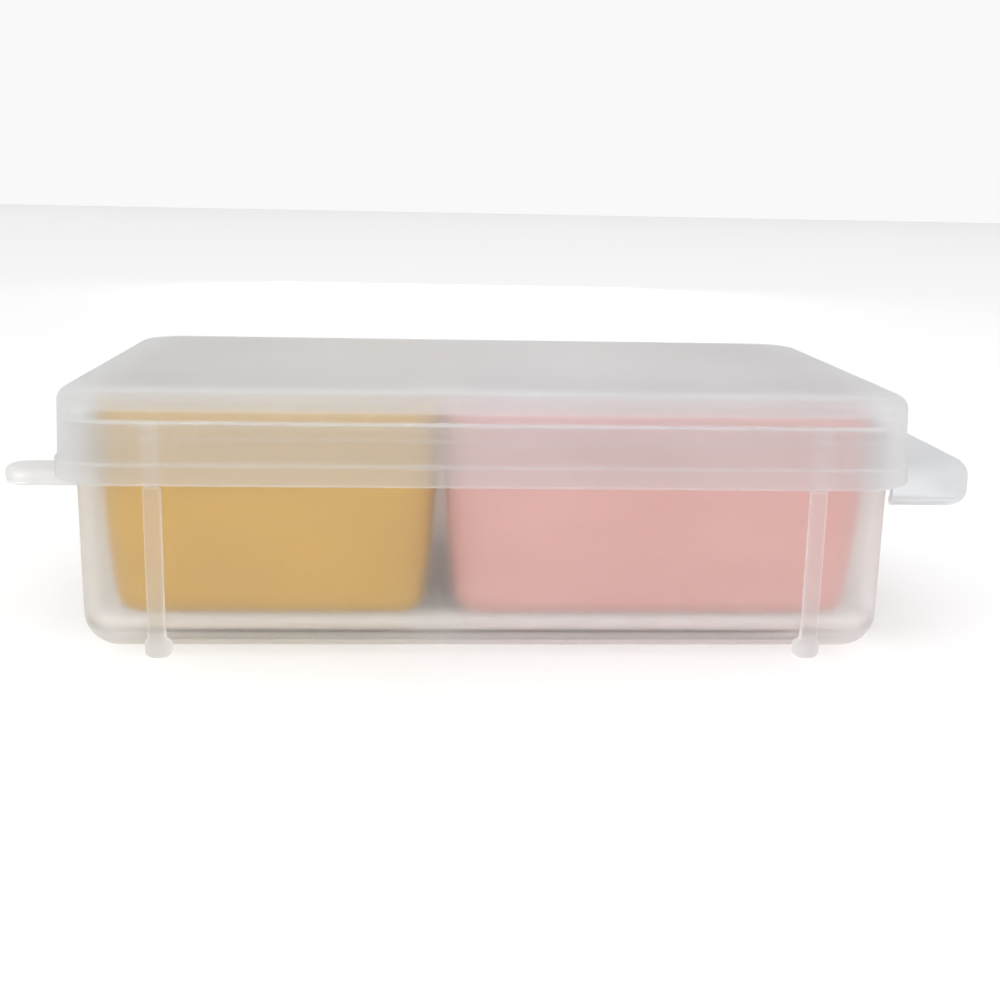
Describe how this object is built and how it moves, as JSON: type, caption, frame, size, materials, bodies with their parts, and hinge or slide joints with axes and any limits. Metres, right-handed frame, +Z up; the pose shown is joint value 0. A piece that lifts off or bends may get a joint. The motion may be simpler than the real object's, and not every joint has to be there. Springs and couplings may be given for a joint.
{
  "type": "wet palette",
  "caption": "Translucent snap-lid case with pull tabs, holding round-cornered coloured tubs, each with a wet sponge pad and a sheet of palette paper.",
  "frame": {"origin": "on the table, below the middle of the overall length and depth", "axes": "+X along the case towards the hooded tab of the lid, +Y from the front long wall to the back, +Z up"},
  "size_m": [0.1832, 0.092, 0.047],
  "materials": {
    "frosted_plastic": "frosted, translucent",
    "ochre_plastic": "satin",
    "salmon_plastic": "satin",
    "sponge": "open-cell foam",
    "palette_paper": "matte, slightly waxy"
  },
  "bodies": {
    "case": {"case_tray": "frosted_plastic"},
    "lid": {"snap_lid": "frosted_plastic"},
    "left_tub": {"left_tub": "ochre_plastic"},
    "right_tub": {"right_tub": "salmon_plastic"},
    "left_sponge": {"left_sponge": "sponge"},
    "right_sponge": {"right_sponge": "sponge"},
    "left_sheet": {"left_palette_sheet": "palette_paper"},
    "right_sheet": {"right_palette_sheet": "palette_paper"}
  },
  "joints": [
    {"name": "lid_lift", "type": "slide", "parent": "case", "child": "lid", "axis": [0, 0, 1], "range_m": [0, 0.13]},
    {"name": "left_tub_lift", "type": "slide", "parent": "case", "child": "left_tub", "axis": [0, 0, 1], "range_m": [0, 0.052]},
    {"name": "left_sponge_lift", "type": "slide", "parent": "left_tub", "child": "left_sponge", "axis": [0, 0, 1], "range_m": [0, 0.04]},
    {"name": "left_sheet_lift", "type": "slide", "parent": "left_sponge", "child": "left_sheet", "axis": [0, 0, 1], "range_m": [0, 0.014]},
    {"name": "right_tub_lift", "type": "slide", "parent": "case", "child": "right_tub", "axis": [0, 0, 1], "range_m": [0, 0.052]},
    {"name": "right_sponge_lift", "type": "slide", "parent": "right_tub", "child": "right_sponge", "axis": [0, 0, 1], "range_m": [0, 0.04]},
    {"name": "right_sheet_lift", "type": "slide", "parent": "right_sponge", "child": "right_sheet", "axis": [0, 0, 1], "range_m": [0, 0.014]}
  ],
  "couplings": [
    {"joint": "left_tub_lift", "follows": "lid_lift", "ratio": 0.4},
    {"joint": "left_sponge_lift", "follows": "lid_lift", "ratio": 0.30769},
    {"joint": "left_sheet_lift", "follows": "lid_lift", "ratio": 0.10769},
    {"joint": "right_tub_lift", "follows": "lid_lift", "ratio": 0.4},
    {"joint": "right_sponge_lift", "follows": "lid_lift", "ratio": 0.30769},
    {"joint": "right_sheet_lift", "follows": "lid_lift", "ratio": 0.10769}
  ]
}
